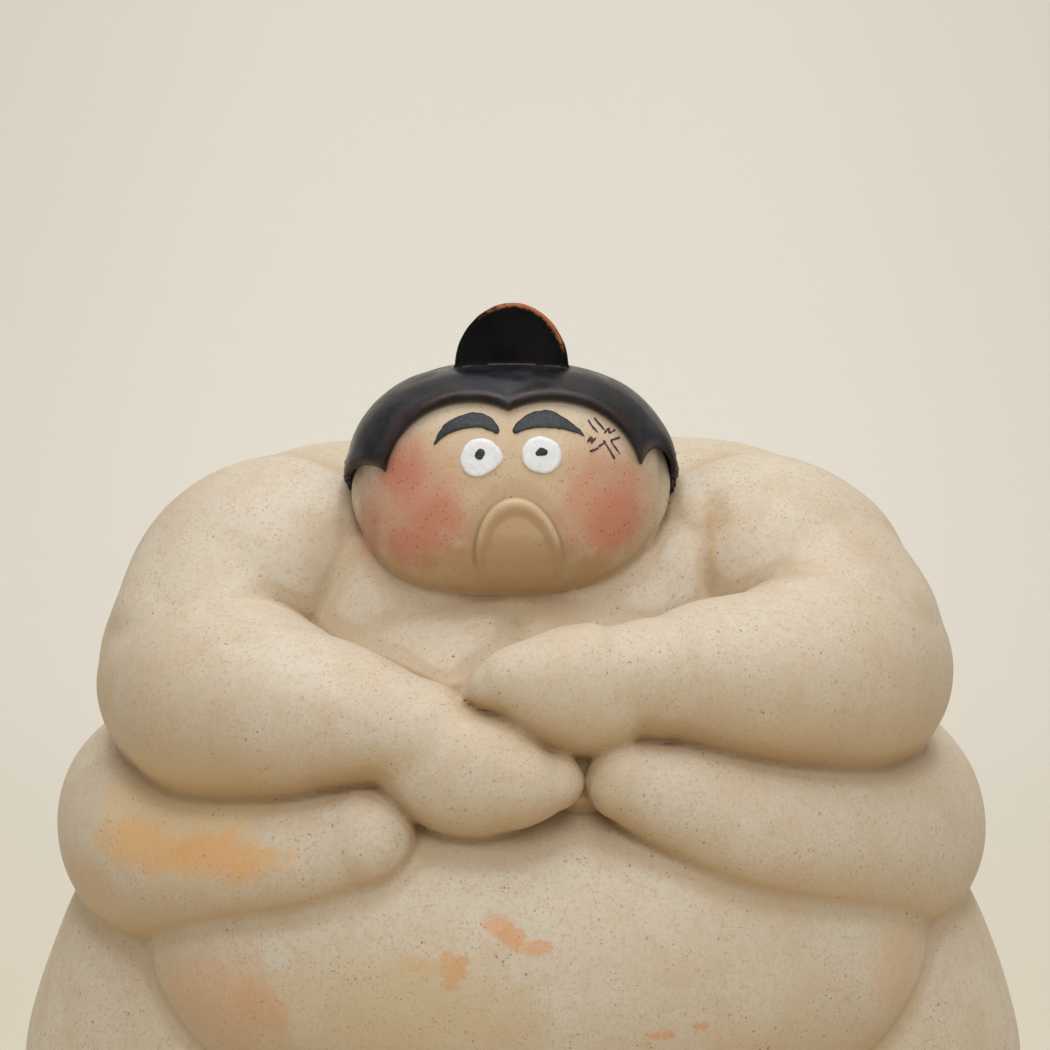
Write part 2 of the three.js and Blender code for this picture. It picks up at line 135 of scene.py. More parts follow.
LEFT_SIDE_ROLL = [
    (5, 28.5, 67, 7, 5.5),
    (16, 29.6, 66.5, 9, 6.8),
    (29, 26, 66, 11, 8.4),
    (38, 17, 64, 11.6, 10),
    (41, 5, 62.5, 11.6, 10.3),
    (38.6, -7.5, 62.3, 10.9, 10),
    (32.3, -19.6, 64.2, 9.2, 8.8),
    (24.5, -27.6, 66.6, 7.6, 7.4),
    (16.8, -31.2, 70, 5.9, 5.7),
    (10.3, -32.7, 72.4, 4.1, 4),
]
RIGHT_THIGH = [
    (-20, 7, 26, 20, 20),
    (-21.5, 6, 17, 20.5, 20),
    (-23, 4, 9, 18, 17.5),
    (-24, 2, 3, 16, 15.5),
    (-24, 2, -3, 16, 15.5),
]
BELLY_CENTRE, BELLY_RADII = (1.4, -5, 52.2), (42.6, 35, 23.8)
HEAD_CENTRE, HEAD_RADII = (-1.3, -10, 101), (16.2, 13.5, 11.6)
JOWL_CENTRE, JOWL_RADII = (-2, -13.4, 97.1), (13.3, 9.9, 7.6)
FOOT_CENTRE, FOOT_RADII, FOOT_SQUARE = (-25, -12, 2.5), (12.5, 9, 7), 2.4
TOE_RADIUS, BIG_TOE_RADIUS, TOE_COUNT = 2.6, 3.4, 5
FIRST_TOE_TURN, TOE_TURN = -58, 29  # degrees
TOE_ACROSS, TOE_FORWARD = 0.78, 0.95  # shares of the foot's radii
TOE_HEIGHT, TOE_LENGTH, TOE_BLEND = 0.75, 1.25, 0.7


# Shapes are made of vertices, triangles and quads
def smooth_rows(rows, per):
    """Catmull-Rom rows between the given rows, with their slopes."""
    p = np.asarray(rows, float)
    p = np.vstack([2 * p[0] - p[1], p, 2 * p[-1] - p[-2]])
    out, slope = [], []
    spans = len(p) - 3
    for i in range(spans):
        a, b, c, d = p[i : i + 4]
        square, cube = 2 * a - 5 * b + 4 * c - d, 3 * b - a - 3 * c + d
        steps = np.linspace(0, 1, per + 1)
        for t in steps if i == spans - 1 else steps[:-1]:
            out.append(0.5 * (2 * b + (c - a) * t + square * t**2 + cube * t**3))
            slope.append(0.5 * ((c - a) + 2 * square * t + 3 * cube * t**2))
    return np.array(out), np.array(slope)


def skin(rings, start, end):
    """Rings of points joined by quads, with a fan of triangles to a point at either end."""
    rings = np.asarray(rings)
    count, around, _ = rings.shape
    verts = np.vstack([rings.reshape(-1, 3), start, end])
    i = np.arange(count - 1)[:, None] * around
    j = np.arange(around)[None, :]
    k = (j + 1) % around
    quads = np.stack([i + j, i + k, i + around + k, i + around + j], -1).reshape(-1, 4)
    first, last, base = count * around, count * around + 1, (count - 1) * around
    fan_start = np.stack([np.full(around, first), k[0], j[0]], -1)
    fan_end = np.stack([np.full(around, last), base + j[0], base + k[0]], -1)
    return verts, np.vstack([fan_start, fan_end]), quads


def limb(rows, reference=FRONT, around=64, per=14, cap=10):
    """Elliptical sections along a smooth spine, with round ends."""
    s, slope = smooth_rows(rows, per)
    spine, radii = s[:, :3], s[:, 3:5]
    tangent = slope[:, :3] / np.linalg.norm(slope[:, :3], axis=1)[:, None]
    along = reference - (tangent @ reference)[:, None] * tangent
    along /= np.linalg.norm(along, axis=1)[:, None]
    across = np.cross(tangent, along)
    turn = np.linspace(0, 2 * np.pi, around, endpoint=False)[:, None]

    def ring(i, scale, shift):
        oval = along[i] * radii[i, 0] * np.cos(turn) + across[i] * radii[i, 1] * np.sin(turn)
        return spine[i] + tangent[i] * shift + oval * scale

    start, end = radii[0].min(), radii[-1].min()
    bend = np.linspace(0, np.pi / 2, cap + 1)[1:-1]
    rings = [ring(0, math.sin(a), -start * math.cos(a)) for a in bend]
    rings += [ring(i, 1, 0) for i in range(len(spine))]
    rings += [ring(-1, math.sin(a), end * math.cos(a)) for a in bend[::-1]]
    return skin(rings, spine[0] - tangent[0] * start, spine[-1] + tangent[-1] * end)


def signed_power(v, e):
    return np.sign(v) * np.abs(v) ** e


def trunk(rows, square, around=160, per=10):
    """Level sections with squared corners, flat at both ends. A row is z, half width, front y, back y."""
    s, _ = smooth_rows(rows, per)
    turn = np.linspace(0, 2 * np.pi, around, endpoint=False)
    c, d = signed_power(np.cos(turn), 2 / square), signed_power(np.sin(turn), 2 / square)
    rings = [np.stack([w * c, (f + b) / 2 + (b - f) / 2 * d, np.full(around, z)], -1) for z, w, f, b in s]
    bottom, top = (np.array([0, (f + b) / 2, z]) for z, w, f, b in (s[0], s[-1]))
    return skin(rings, bottom, top)


def ball(centre, radii, square=2.0, around=128, rows=64):
    """An ellipsoid, boxier the further its exponent lies above 2."""
    tilt = np.linspace(0, np.pi, rows + 1)[1:-1, None]
    turn = np.linspace(0, 2 * np.pi, around, endpoint=False)[None, :]
    level = np.sin(tilt)
    unit = np.stack([level * np.cos(turn), level * np.sin(turn), -np.cos(tilt) + 0 * turn], -1)
    unit /= (np.abs(unit) ** square).sum(-1, keepdims=True) ** (1 / square)
    centre, radii = np.array(centre, float), np.array(radii, float)
    pole = np.array([0, 0, radii[2]])
    return skin(unit * radii + centre, centre - pole, centre + pole)


def mirrored(rows):
    return [(-x, *rest) for x, *rest in rows]


# Fields
def smooth(part):
    """A part from 0 to 1, eased at both ends."""
    return part * part * (3 - 2 * part)


def ramp(value, start, width):
    """0 up to the start, rising evenly to 1 over the width. A negative width counts downwards."""
    return np.clip((value - start) / width, 0, 1)


def groove(distance, half_width):
    """1 at no distance, falling off like a bell on both sides."""
    return np.exp(-((distance / half_width) ** 2))


def between(field, spots, ease=lambda part: part):
    """Values of a field at rows of in-between places along each axis."""
    for axis, spot in enumerate(spots):
        whole = np.clip(spot.astype(int), 0, field.shape[axis] - 2)
        part = ease((spot - whole).astype(np.float32))
        low, high = np.take(field, whole, axis), np.take(field, whole + 1, axis)
        field = low + (high - low) * np.expand_dims(part, [a for a in range(3) if a != axis])
    return field


class Grid:
    """A box of sample points, spaced evenly."""

    def __init__(self, low, high, voxel):
        self.voxel = voxel
        self.low = np.floor(np.array(low) / voxel).astype(int)
        self.size = np.ceil(np.array(high) / voxel).astype(int) - self.low + 1
        self.transform = openvdb.createLinearTransform(voxelSize=voxel)
        axes = [((np.arange(n) + o) * voxel).astype(np.float32) for n, o in zip(self.size, self.low)]
        self.x, self.y, self.z = np.meshgrid(*axes, indexing="ij", sparse=True)

    def distance(self, shape, reach=4.0):
        """Signed distance to a closed shape, negative inside, up to a reach."""
        verts, tris, quads = shape
        level = openvdb.FloatGrid.createLevelSetFromPolygons(
            verts.astype(np.float32), triangles=tris.astype(np.uint32), quads=quads.astype(np.uint32),
            transform=self.transform, halfWidth=reach / self.voxel,
        )
        out = np.empty(tuple(self.size), np.float32)
        level.copyToArray(out, ijk=tuple(int(v) for v in self.low))
        return out

    def wide_distance(self, shape):
        """The same over a wide reach, from points twice as far apart."""
        coarse = Grid(self.low * self.voxel, (self.low + self.size) * self.voxel, 2 * self.voxel)
        spots = [(np.arange(n) + o) / 2 - c for n, o, c in zip(self.size, self.low, coarse.low)]
        return between(coarse.distance(shape, SOFT_REACH), spots)

    def near(self, centre, radii):
        """1 at the centre, falling smoothly to 0 at the given radii."""
        (cx, cy, cz), (rx, ry, rz) = centre, radii
        far = ((self.x - cx) / rx) ** 2 + ((self.y - cy) / ry) ** 2 + ((self.z - cz) / rz) ** 2
        return smooth(np.clip(1 - far, 0, 1))

    def waves(self, seed, cell, octaves=1):
        """Smooth seeded noise, about -1 to 1."""
        rng = np.random.default_rng(seed)
        total = 0
        for octave in range(octaves):
            step = cell / 2**octave
            counts = [int(n * self.voxel / step) + 4 for n in self.size]
            field = rng.uniform(-1, 1, counts).astype(np.float32)
            spots = [np.arange(n) * self.voxel / step for n in self.size]
            total = total + between(field, spots, smooth) / 2**octave
        return total


def soft_min(a, b, k):
    """The lower of two fields, blended where they are less than k apart."""
    h = np.maximum(k - np.abs(a - b), 0) / k
    return np.minimum(a, b) - h * h * k * 0.25


def soft_max(a, b, k):
    return -soft_min(-a, -b, k)


def sample(field, grid, points):
    """Value of a field at any points."""
    p = points / grid.voxel - grid.low
    i = np.clip(np.floor(p).astype(int), 0, np.array(field.shape) - 2)
    f = p - i
    out = 0
    for corner in np.ndindex(2, 2, 2):
        weight = np.prod([f[:, a] if c else 1 - f[:, a] for a, c in enumerate(corner)], axis=0)
        out = out + weight * field[tuple(i[:, a] + c for a, c in enumerate(corner))]
    return out


def slope_at(field, grid, points):
    """Slope of a field at any points."""
    out = np.empty_like(points)
    for axis in range(3):
        shift = np.zeros(3)
        shift[axis] = grid.voxel
        out[:, axis] = sample(field, grid, points + shift) - sample(field, grid, points - shift)
    return out / (2 * grid.voxel)


def drawn_to(field, grid, points, steps):
    """Points moved onto the zero surface of a field, at most half a voxel in a step."""
    points = points.copy()
    for _ in range(steps):
        slope = slope_at(field, grid, points)
        square = np.maximum((slope**2).sum(1), FLATTEST_SQUARE)
        move = -(sample(field, grid, points) / square)[:, None] * slope
        points += np.clip(move, -0.5 * grid.voxel, 0.5 * grid.voxel)
    return points


def hollow_at(field, grid, points, step):
    """How deeply a point lies in a crease or hollow of about the given size, negative on an edge."""
    around = 0
    for axis in range(3):
        shift = np.zeros(3)
        shift[axis] = step
        around = around + sample(field, grid, points + shift) + sample(field, grid, points - shift)
    return np.clip(-(around - 6 * sample(field, grid, points)) / step, -2, 2)


def surface(field, labels, grid, seam=None):
    """Points, quads and the labels on both sides of each quad: walls between labels, smooth skin outside.

    Where the skin crosses the seam field, the border of head and body runs along its zero line.
    """
    lab = np.where(field < 0, labels, 0).astype(np.int8)
    cells_shape = tuple(n - 1 for n in lab.shape)
    low, high = np.full(cells_shape, 127, np.int8), np.full(cells_shape, -128, np.int8)
    for d in np.ndindex(2, 2, 2):
        part = lab[tuple(slice(o, n - 1 + o) for o, n in zip(d, lab.shape))]
        np.minimum(low, part, out=low)
        np.maximum(high, part, out=high)
    cells = np.argwhere(low != high)
    index = np.full(cells_shape, -1, np.int32)
    index[tuple(cells.T)] = np.arange(len(cells))
    total, count = np.zeros((len(cells), 3)), np.zeros(len(cells))
    for axis in range(3):
        others = [a for a in range(3) if a != axis]
        for d in np.ndindex(2, 2):
            a = cells.copy()
            a[:, others] += d
            b = a.copy()
            b[:, axis] += 1
            la, lb = lab[tuple(a.T)], lab[tuple(b.T)]
            fa, fb = field[tuple(a.T)], field[tuple(b.T)]
            crossing = la != lb
            outer = (la == 0) | (lb == 0)
            span = np.where(np.abs(fa - fb) < 1e-9, 1, fa - fb)
            p = a.astype(float)
            p[:, axis] += np.where(outer, np.clip(fa / span, 0, 1), 0.5)
            total[crossing] += p[crossing]
            count[crossing] += 1
    verts = (total / np.maximum(count, 1)[:, None] + grid.low) * grid.voxel
    quads, sides = [], []
    for axis in range(3):
        back, ahead = [slice(None)] * 3, [slice(None)] * 3
        back[axis], ahead[axis] = slice(0, -1), slice(1, None)
        la, lb = lab[tuple(back)], lab[tuple(ahead)]
        edges = np.argwhere(la != lb)
        o1, o2 = (axis + 1) % 3, (axis + 2) % 3
        inside = (edges[:, o1] > 0) & (edges[:, o2] > 0)
        inside &= (edges[:, o1] < lab.shape[o1] - 1) & (edges[:, o2] < lab.shape[o2] - 1)
        edges = edges[inside]
        ring = []
        for d1, d2 in ((-1, -1), (0, -1), (0, 0), (-1, 0)):
            c = edges.copy()
            c[:, o1] += d1
            c[:, o2] += d2
            ring.append(index[tuple(c.T)])
        quads.append(np.stack(ring, -1))
        sides.append(np.stack([la[tuple(edges.T)], lb[tuple(edges.T)]], -1))
    quads, sides = np.vstack(quads), np.vstack(sides)
    on_skin = np.zeros(len(verts), bool)
    on_skin[quads[(sides == 0).any(1)].ravel()] = True
    verts[on_skin] = drawn_to(field, grid, verts[on_skin], SKIN_STEPS)
    if seam is not None:
        on_border = on_skin.copy()
        for ours in (True, False):
            touched = np.zeros(len(verts), bool)
            mine = sides.max(1) >= FIRST_HEAD_LABEL
            touched[quads[((sides == 0).any(1)) & (mine == ours)].ravel()] = True
            on_border &= touched
        for _ in range(BORDER_ROUNDS):
            verts[on_border] = drawn_to(seam, grid, verts[on_border], 1)
            verts[on_border] = drawn_to(field, grid, verts[on_border], 1)
    return verts, quads, sides


# Clay pressed onto the chest: centre, radii, height
CHEST_FILLS = [
    ((5.8, -29, 73.4), (6.2, 8, 5.2), 5),
    ((6.6, -28, 68.6), (5, 8, 3.6), 2.6),
    ((-5, -28, 79), (3.5, 8, 3), 2),
    ((14, -28, 75.3), (7, 8, 4), 3),
    ((-1.3, -24, 79.5), (24, 12, 11.5), 4.6),
    ((17, -13, 94), (3.4, 8, 9), 0.8),
]
# What is added to a crease where two forms run softly into each other
SHOULDER_SOFT, SHOULDER_BACK_SOFT, ELBOW_SOFT, WRIST_SOFT, ROLL_BACK_SOFT = 6, 5, 6.5, 3.4, 3
WRIST_CREASE = 0.8
JOWL_BLEND = 3


def chest(grid):
    """The torso, filled where clay was pressed in behind the finger tips and under the jaw."""
    field = grid.wide_distance(trunk(TORSO_LEVELS, TORSO_SQUARE))
    for centre, radii, height in CHEST_FILLS:
        field = field - height * grid.near(centre, radii)
    return field


def shoulder(grid, side):
    """Softness of an upper arm: wide over the shoulder, behind it and at the neck."""
    top = grid.near((side * 23, 9, 103), (24, 28, 17)) * ramp(grid.y, -13, 8)
    back = grid.near((side * 30, 24, 84), (20, 18, 24))
    neck = grid.near((side * 19, -5, 102), (13, 15, 7.5))
    return CREASE + SHOULDER_SOFT * np.maximum(top, neck) + SHOULDER_BACK_SOFT * back


def elbow(grid, side):
    """Softness of a forearm: wide where it leaves the upper arm."""
    return CREASE + ELBOW_SOFT * grid.near((side * 37, -13, 92), (13, 14, 10))


def wrist(grid, side, height):
    """Softness of a hand: wide on the upper side of its wrist."""
    return WRIST_CREASE + WRIST_SOFT * grid.near((side * 12, -30, height + 3), (9, 12, 7))


def roll_back(grid):
    """Softness of a side roll: wider towards the back."""
    return CREASE + ROLL_BACK_SOFT * ramp(grid.y, 5, 20)


def skull(grid, shift=(0, 0, 0)):
    """The head without its ears, perhaps moved."""
    upper = grid.distance(ball(np.add(HEAD_CENTRE, shift), HEAD_RADII, HEAD_SQUARE))
    lower = grid.distance(ball(np.add(JOWL_CENTRE, shift), JOWL_RADII, HEAD_SQUARE))
    return soft_min(upper, lower, JOWL_BLEND)


def foot(grid, side):
    """A foot with its toes: side 1 is the right one, -1 the left."""
    x, y, z = FOOT_CENTRE
    field = grid.distance(ball((side * x, y, z), FOOT_RADII, FOOT_SQUARE))
    for i in range(TOE_COUNT):
        radius = TOE_RADIUS if i else BIG_TOE_RADIUS
        turn = math.radians(FIRST_TOE_TURN + i * TOE_TURN)
        across = x - math.sin(turn) * FOOT_RADII[0] * TOE_ACROSS
        forward = y - math.cos(turn) * FOOT_RADII[1] * TOE_FORWARD
        toe = ball((side * across, forward, radius * TOE_HEIGHT), (radius, radius * TOE_LENGTH, radius))
        field = soft_min(field, grid.distance(toe), TOE_BLEND)
    return field


def arch(grid, centre_x, spring_z, half_width, rise):
    """Outline, on the front plane, of a form with straight sides and a round top."""
    far = np.hypot((grid.x - centre_x) / half_width, np.maximum(grid.z - spring_z, 0) / rise)
    return (far - 1) * min(half_width, rise)


LABELS = [
    "torso", "right_arm", "left_arm", "right_hand", "left_hand", "right_side_roll", "left_side_roll",
    "belly", "right_leg", "left_leg", "right_foot", "left_foot", "head", "right_ear", "left_ear", "mouth",
]
FIRST_HEAD_LABEL = 1 + LABELS.index("head")
FLATTEST_SQUARE = 0.05  # of a field's slope, when points are drawn to its surface
SKIN_STEPS, BORDER_ROUNDS = 3, 4
RIGHT_EAR = [
    (-14.6, -13.8, 95.2, 0.8, 1.4),
    (-16.2, -12.4, 98.6, 1.6, 1.8),
    (-16.4, -12, 101.6, 1.3, 1.6),
    (-15.7, -12.5, 103.3, 0.5, 0.8),
]
LEFT_EAR = [
    (12, -14.4, 95.4, 0.8, 1.4),
    (13.6, -12.4, 99.4, 1.6, 1.8),
    (13.8, -12, 102.8, 1.3, 1.6),
    (13.3, -12.5, 105, 0.5, 0.8),
]
# Centre x, spring z, half width and rise, and how far the face moves out within
MOUTH_ARCH, MOUTH_SHIFT = (-0.5, 93.6, 4.6, 6.9), (0, -1.7, 1.5)
MOUTH_LEAN, MOUTH_RIM, MOUTH_HOLLOW, MOUTH_ROUNDING = 0.06, 0.5, 0.7, 0.6


def mouth(grid):
    """A frown: the face moved out within a leaning arch, hollowed behind its rim."""
    x, z, half_width, rise = MOUTH_ARCH
    outline = arch(grid, x - MOUTH_LEAN * (grid.z - z - 2), z, half_width, rise)
    inner = ramp(-outline, MOUTH_RIM, 0.7) * ramp(grid.z, 92, 4)
    return soft_max(skull(grid, MOUTH_SHIFT) + MOUTH_HOLLOW * inner, outline, MOUTH_ROUNDING)


# Clay forms: label, shape, and how softly each one runs into those before it
BODY_FORMS = [
    ("torso", chest, None),
    ("right_arm", lambda g: g.wide_distance(limb(RIGHT_UPPER_ARM)), lambda g: shoulder(g, -1)),
    ("left_arm", lambda g: g.wide_distance(limb(LEFT_UPPER_ARM)), lambda g: shoulder(g, 1)),
    ("right_arm", lambda g: g.wide_distance(limb(RIGHT_FOREARM)), lambda g: elbow(g, -1)),
    ("left_arm", lambda g: g.wide_distance(limb(LEFT_FOREARM)), lambda g: elbow(g, 1)),
    ("right_hand", lambda g: g.wide_distance(limb(RIGHT_HAND)), lambda g: wrist(g, -1, 75)),
    ("left_hand", lambda g: g.wide_distance(limb(LEFT_HAND)), lambda g: wrist(g, 1, 81.6)),
    ("right_side_roll", lambda g: g.distance(limb(RIGHT_SIDE_ROLL, UP)), roll_back),
    ("left_side_roll", lambda g: g.distance(limb(LEFT_SIDE_ROLL, UP)), roll_back),
    ("belly", lambda g: g.distance(ball(BELLY_CENTRE, BELLY_RADII, BELLY_SQUARE)), lambda g: CREASE),
    ("right_leg", lambda g: g.distance(limb(RIGHT_THIGH)), lambda g: 2),
    ("left_leg", lambda g: g.distance(limb(mirrored(RIGHT_THIGH))), lambda g: 2),
    ("right_foot", lambda g: foot(g, 1), lambda g: 2),
    ("left_foot", lambda g: foot(g, -1), lambda g: 2),
    ("head", skull, lambda g: 0.7),
    ("right_ear", lambda g: g.distance(limb(RIGHT_EAR)), lambda g: 0.8),
    ("left_ear", lambda g: g.distance(limb(LEFT_EAR)), lambda g: 0.8),
    ("mouth", mouth, lambda g: 0.25 + 1.6 * ramp(g.z, 94, -4)),
]
# The head, its ears and mouth, with the torso and the upper arms that it sits on
HEAD_FORMS = BODY_FORMS[:3] + BODY_FORMS[-4:]
# Thumb marks at the front of each shoulder: centre, radii, depth
DIMPLES = [
    ((-23.6, -8, 94.4), (4.4, 8, 5), 1.1),
    ((20.6, -8, 95.9), (3.2, 8, 5.2), 0.8),
]
# Furrow down the middle of the chest: start and end (x and z), half width
CHEST_FURROW = (-1.1, 87.2), (-5, 83.2), 2.4
FURROW_DEPTH = 0.8


def furrow(grid, start, end, width):
    """1 along a line on the front of the chest, falling smoothly to 0 at the given width."""
    (x, z), dx, dz = start, end[0] - start[0], end[1] - start[1]
    along = np.clip(((grid.x - x) * dx + (grid.z - z) * dz) / (dx * dx + dz * dz), 0, 1)
    away = np.hypot(grid.x - x - along * dx, grid.z - z - along * dz)
    return smooth(np.clip(1 - away / width, 0, 1)) * ramp(grid.y, -12, -4) * ramp(grid.y, -32, 2)


def join_forms(grid, forms):
    """Blended field of all the forms, the label of the nearest one, and the seam between head and body."""
    nearest = {True: None, False: None}
    for label, shape, blend in forms:
        number = LABELS.index(label) + 1
        distance = shape(grid)
        if blend is None:
            field, least = distance.copy(), distance.copy()
            labels = np.full(distance.shape, number, np.int8)
        else:
            field = soft_min(field, distance, blend(grid))
            labels[distance < least] = number
            np.minimum(least, distance, out=least)
        group = number >= FIRST_HEAD_LABEL
        nearest[group] = distance if nearest[group] is None else np.minimum(nearest[group], distance)
    return field, labels, nearest[True] - nearest[False]


def add_piece(name, verts, faces, look, normals, marks, nodes):
    """A mesh object from millimetre points, standing for the given nodes, if any."""
    mesh = bpy.data.meshes.new(name)
    mesh.from_pydata((verts * MM).tolist(), [], faces.tolist())
    mesh.polygons.foreach_set("use_smooth", np.ones(len(mesh.polygons), bool))
    for key, values in marks.items():
        mesh.attributes.new(key, "FLOAT", "POINT").data.foreach_set("value", values.astype(np.float32))
    mesh.normals_split_custom_set_from_vertices(normals.tolist())
    mesh.materials.append(look)
    piece = bpy.data.objects.new(name, mesh)
    bpy.context.scene.collection.objects.link(piece)
    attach(piece, "root")
    if nodes:
        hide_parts(*nodes)


def add_skin(field, labels, grid, names, look, ending, fine=0.9, broad=3.2, nodes=None, seam=None):
    """One closed piece for each named label of a field, standing for its solid or the given nodes.

    The sizes fine and broad are those of the creases and hollows that its material can mark: with pooled
    stain and painted shade on the clay, with wear on the glaze.
    """
    verts, quads, sides = surface(field, labels, grid, seam)
    normals = slope_at(field, grid, verts)
    normals /= np.maximum(np.linalg.norm(normals, axis=1), 1e-6)[:, None]
    marks = {"crease": hollow_at(field, grid, verts, fine), "hollow": hollow_at(field, grid, verts, broad)}
    for number, name in names.items():
        mine = (sides == number).any(1)
        faces = quads[mine].copy()
        turned = sides[mine][:, 1] == number
        faces[turned] = faces[turned][:, ::-1]
        used, inverse = np.unique(faces, return_inverse=True)
        add_piece(
            name + ending, verts[used], inverse.reshape(faces.shape), look, normals[used],
            {key: values[used] for key, values in marks.items()}, [name] if nodes is None else nodes,
        )


# Hair, topknot and paint. An opening is its centre x, spring z, half width and rise
FACE_ARCHES = [(-5.5, 101.5, 8.9, 8.8), (3, 101.5, 9.5, 8.9)]
# Around the ears, also how far the arch leans outward below its spring
EAR_ARCHES = [(-16, 101.6, 2.2, 1.8, -0.5), (13.9, 102, 1.7, 3.1, 0.5)]
# Rough ends of the hair behind the ears: centre, radii
HAIR_ENDS = [((-18.8, -8, 100.8), (3, 7, 4.2)), ((16.2, -8, 101.6), (3, 7, 4.2))]
HAIR_THICKNESS, HAIR_THINNING, HAIR_WINDOW_BACK, NAPE_Z = 1.3, 0.35, -9, 98.9
# The rolled edge of the hair round the face: height, distance from the edge, half width
HAIR_LIP, LIP_INSET, LIP_HALF_WIDTH = 0.35, 0.9, 0.6
WINDOW_ROUNDING, NAPE_ROUNDING = 1.1, 0.9
ROOT = 0.4  # how deep hair and cloth start below the clay
TOPKNOT_FRONT_Y = -13.6
# x, y, z, radius up, radius across
TOPKNOT = [
    (-1.2, 5.4, 111.3, 2, 2.2),
    (-1.2, -1.8, 114.1, 2.4, 2.5),
    (-1.2, -7.9, 113.9, 4.6, 4.2),
    (-1.2, -12.1, 113.4, 6.8, 5.9),
    (-1.2, -16, 113.4, 6.8, 5.9),
]
# Brush strokes on the face: x, z, half width
RIGHT_BROW = [
    (-9.2, 105.95, 0.08), (-8.5, 106.85, 0.34), (-7.6, 107.65, 0.58), (-6.4, 108.15, 0.7),
    (-5.2, 108.4, 0.76), (-4.1, 108.3, 0.7), (-3.35, 107.9, 0.55), (-2.75, 107.35, 0.32),
]
LEFT_BROW = [
    (-0.75, 107.4, 0.34), (-0.05, 107.95, 0.58), (1.1, 108.4, 0.8), (2.6, 108.5, 0.88),
    (3.75, 108.2, 0.66), (4.9, 107.7, 0.4), (5.8, 107.2, 0.22), (6.35, 106.75, 0.07),
]
RIGHT_WHITE = [(-4.75, 104.4, 1.75), (-4.3, 104.75, 1.85), (-3.2, 104.7, 1.1), (-2.6, 104.65, 0.45)]
LEFT_WHITE = [(1.7, 104.95, 1.85), (2.2, 104.8, 1.8)]
RIGHT_PUPIL = [(-4.55, 104.85, 0.46), (-4.4, 105.1, 0.46)]
LEFT_PUPIL = [(1.55, 105.1, 0.3), (1.95, 105.25, 0.42), (2.2, 105.2, 0.38)]
ANGER_MARK = [
    [(6.8, 108.3), (7.3, 107.6), (7.75, 107.1)],
    [(7.45, 108.5), (7.95, 107.9), (8.4, 107.4)],
    [(8.5, 107.05), (8.9, 107.45), (9.0, 107.0), (9.55, 107.25)],
    [(6.7, 106.2), (7.1, 106.6), (7.1, 106.1), (7.5, 106.5)],
    [(7.0, 105.2), (7.35, 105.3), (7.75, 105.5)],
    [(7.9, 105.7), (8.25, 105.9), (8.6, 106.1)],
    [(8.4, 106.2), (8.95, 105.3), (9.5, 104.4)],
    [(9.15, 106.25), (9.6, 106.35), (10.0, 106.5)],
    [(9.15, 106.15), (9.6, 105.5), (10.1, 104.8)],
]
INK_HALF_WIDTH = 0.11


def hair_fields(grid):
    """Blended field and labels of the hair cap and the topknot."""
    skin_at = skull(grid)
    window = np.minimum.reduce([arch(grid, *a) for a in FACE_ARCHES])
    for x, z, half, rise, lean in EAR_ARCHES:
        for turned in (0, lean):
            window = np.minimum(window, arch(grid, x + turned * np.maximum(z - grid.z, 0), z, half, rise))
    lip = HAIR_LIP * groove(window - LIP_INSET, LIP_HALF_WIDTH) * ramp(grid.y, -10, -4)
    thin = HAIR_THINNING * ramp(grid.y, -16, -5)
    cap = skin_at - HAIR_THICKNESS + thin - lip + 0.08 * grid.waves(5, 4, 2)
    for centre, radii in HAIR_ENDS:
        cap = cap - (0.15 + 0.35 * grid.waves(6, 0.7, 2)) * grid.near(centre, radii)
    cap = soft_max(cap, -np.maximum(window, grid.y - HAIR_WINDOW_BACK), WINDOW_ROUNDING)
    cap = soft_max(cap, NAPE_Z - grid.z + 0.35 * grid.waves(6, 1.6, 2), NAPE_ROUNDING)
    cap = np.maximum(cap, -skin_at - ROOT)
    tail = grid.distance(limb(TOPKNOT, UP)) + 0.07 * grid.waves(7, 2.5, 2)
    tail = soft_max(tail, TOPKNOT_FRONT_Y - grid.y + 0.05 * grid.waves(8, 3), 0.6)
    tail = np.maximum(tail, -skin_at)
    labels = np.where(tail < cap, 2, 1).astype(np.int8)
    return soft_min(cap, tail, 0.5), labels


def brushed(grid, rows):
    """Outline of a brush stroke, or of a list of thin ink lines, on the front plane, negative inside."""
    x, z = grid.x[:, 0], grid.z[0]
    lines = [rows]
    if isinstance(rows[0], list):
        lines = [[(*point, INK_HALF_WIDTH) for point in line] for line in rows]
    points = np.vstack([smooth_rows(line, 8)[0] for line in lines])
    return np.minimum.reduce([np.hypot(x - px, z - pz) - radius for px, pz, radius in points])[:, None, :]


def painted(grid, skin_at, outline, low, high, rounding):
    """A dab of paint that lies on the skin between two heights."""
    ragged = outline + 0.05 * grid.waves(9, 0.5, 2)
    dab = soft_max(skin_at - high + 0.03 * grid.waves(10, 0.7, 2), ragged, rounding)
    return np.maximum(dab, low - skin_at)


# Belt of wound cloth, its apron and its knot. A row is z, half width, front y, back y
BELT_LEVELS = [(13, 44, -22, 33), (14, 45, -23, 34), (21, 46, -23, 34), (22, 45, -22, 33)]
APRON_LEVELS = [
    (5, 7, -25.7, -23.7),
    (6, 7.5, -26.1, -23.3),
    (13, 8.5, -26.3, -21.3),
    (21, 8.5, -26.3, -21.3),
    (22, 7.7, -25.5, -22.3),
]
KNOT_CENTRE, KNOT_RADII = (0, 35.5, 17.5), (6.5, 4, 5)
APRON_SQUARE, KNOT_SQUARE = 5, 3
